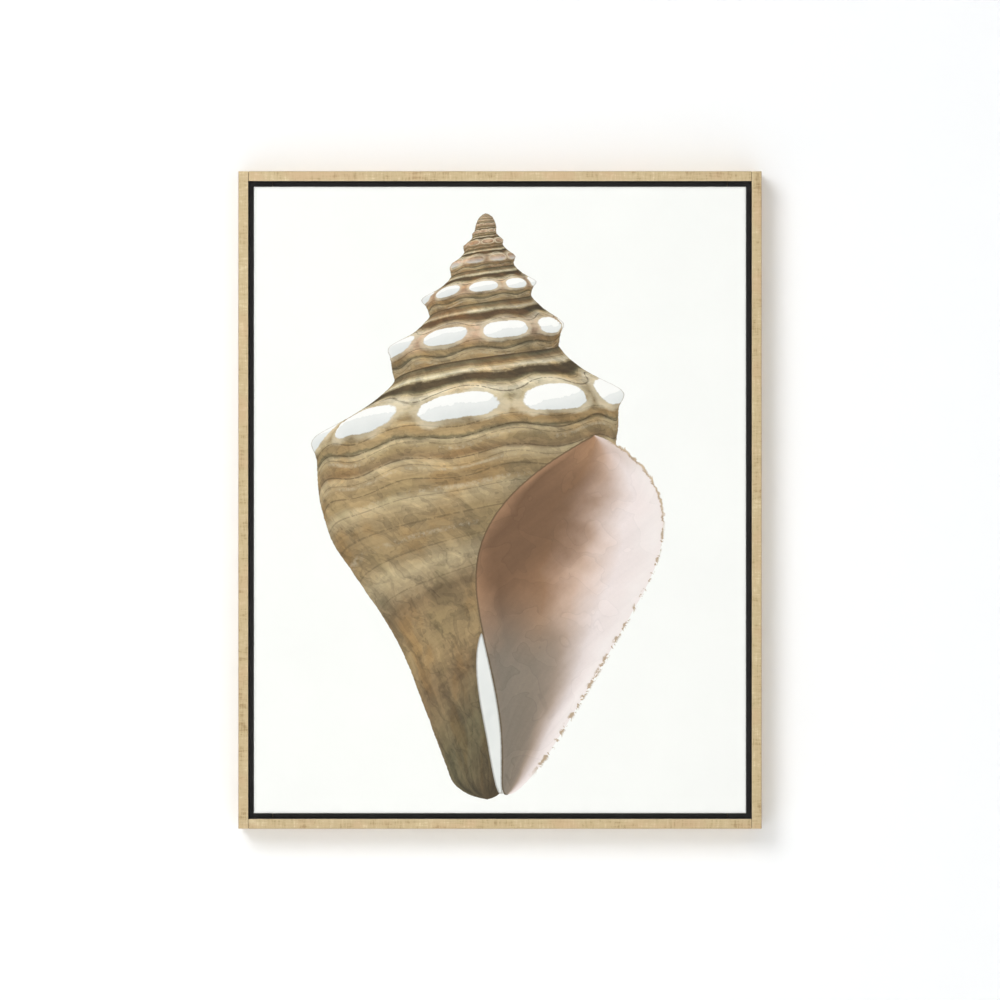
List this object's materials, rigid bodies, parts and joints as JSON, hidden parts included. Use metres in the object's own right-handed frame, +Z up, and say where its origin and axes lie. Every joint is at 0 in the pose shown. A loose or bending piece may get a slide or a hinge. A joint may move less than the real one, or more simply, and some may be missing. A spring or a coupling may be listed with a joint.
{
  "type": "framed canvas print",
  "caption": "Upright canvas print on a wooden stretcher, screwed into a slim pale-gold float frame with a dark gap all round, hung on toothed hangers.",
  "frame": {"origin": "on the wall plane, midway between the two toothed hangers and level with their notches", "axes": "+X to the right as seen from the front, -Y the way the picture faces, +Y towards the wall, +Z up"},
  "size_m": [0.5936, 0.0475, 0.7461],
  "materials": {
    "frame_finish": "pale champagne-gold wash over a fine linen-like grain, satin, black inside the channel",
    "canvas_cloth": "matt coated canvas with a fine plain weave and a painted sea shell, bare cloth behind",
    "stretcher_wood": "planed, unfinished softwood with a straight grain",
    "screw_zinc": "zinc-plated cross-head screw",
    "staple_steel": "bright galvanised wire",
    "hanger_brass": "stamped, brass-plated sheet and its nails, satin",
    "pad_felt": "dark self-adhesive bumper, matt"
  },
  "bodies": {
    "root": {"frame_stile_left": "frame_finish", "frame_stile_right": "frame_finish", "frame_rail_top": "frame_finish", "frame_rail_bottom": "frame_finish", "canvas": "canvas_cloth", "stretcher_top": "stretcher_wood", "stretcher_bottom": "stretcher_wood", "stretcher_left": "stretcher_wood", "stretcher_right": "stretcher_wood", "stretcher_brace": "stretcher_wood", "screw_1": "screw_zinc", "screw_2": "screw_zinc", "screw_3": "screw_zinc", "screw_4": "screw_zinc", "screw_5": "screw_zinc", "screw_6": "screw_zinc", "screw_7": "screw_zinc", "screw_8": "screw_zinc", "hanger_nail_1": "hanger_brass", "hanger_nail_2": "hanger_brass", "hanger_nail_3": "hanger_brass", "hanger_nail_4": "hanger_brass", "staple_01": "staple_steel", "staple_02": "staple_steel", "staple_03": "staple_steel", "staple_04": "staple_steel", "staple_05": "staple_steel", "staple_06": "staple_steel", "staple_07": "staple_steel", "staple_08": "staple_steel", "staple_09": "staple_steel", "staple_10": "staple_steel", "staple_11": "staple_steel", "staple_12": "staple_steel", "staple_13": "staple_steel", "staple_14": "staple_steel", "staple_15": "staple_steel", "staple_16": "staple_steel", "staple_17": "staple_steel", "staple_18": "staple_steel", "staple_19": "staple_steel", "staple_20": "staple_steel", "staple_21": "staple_steel", "staple_22": "staple_steel", "staple_23": "staple_steel", "staple_24": "staple_steel", "staple_25": "staple_steel", "staple_26": "staple_steel", "staple_27": "staple_steel", "staple_28": "staple_steel", "staple_29": "staple_steel", "staple_30": "staple_steel", "hanger_left": "hanger_brass", "hanger_right": "hanger_brass", "pad_left": "pad_felt", "pad_right": "pad_felt"}
  },
  "joints": []
}
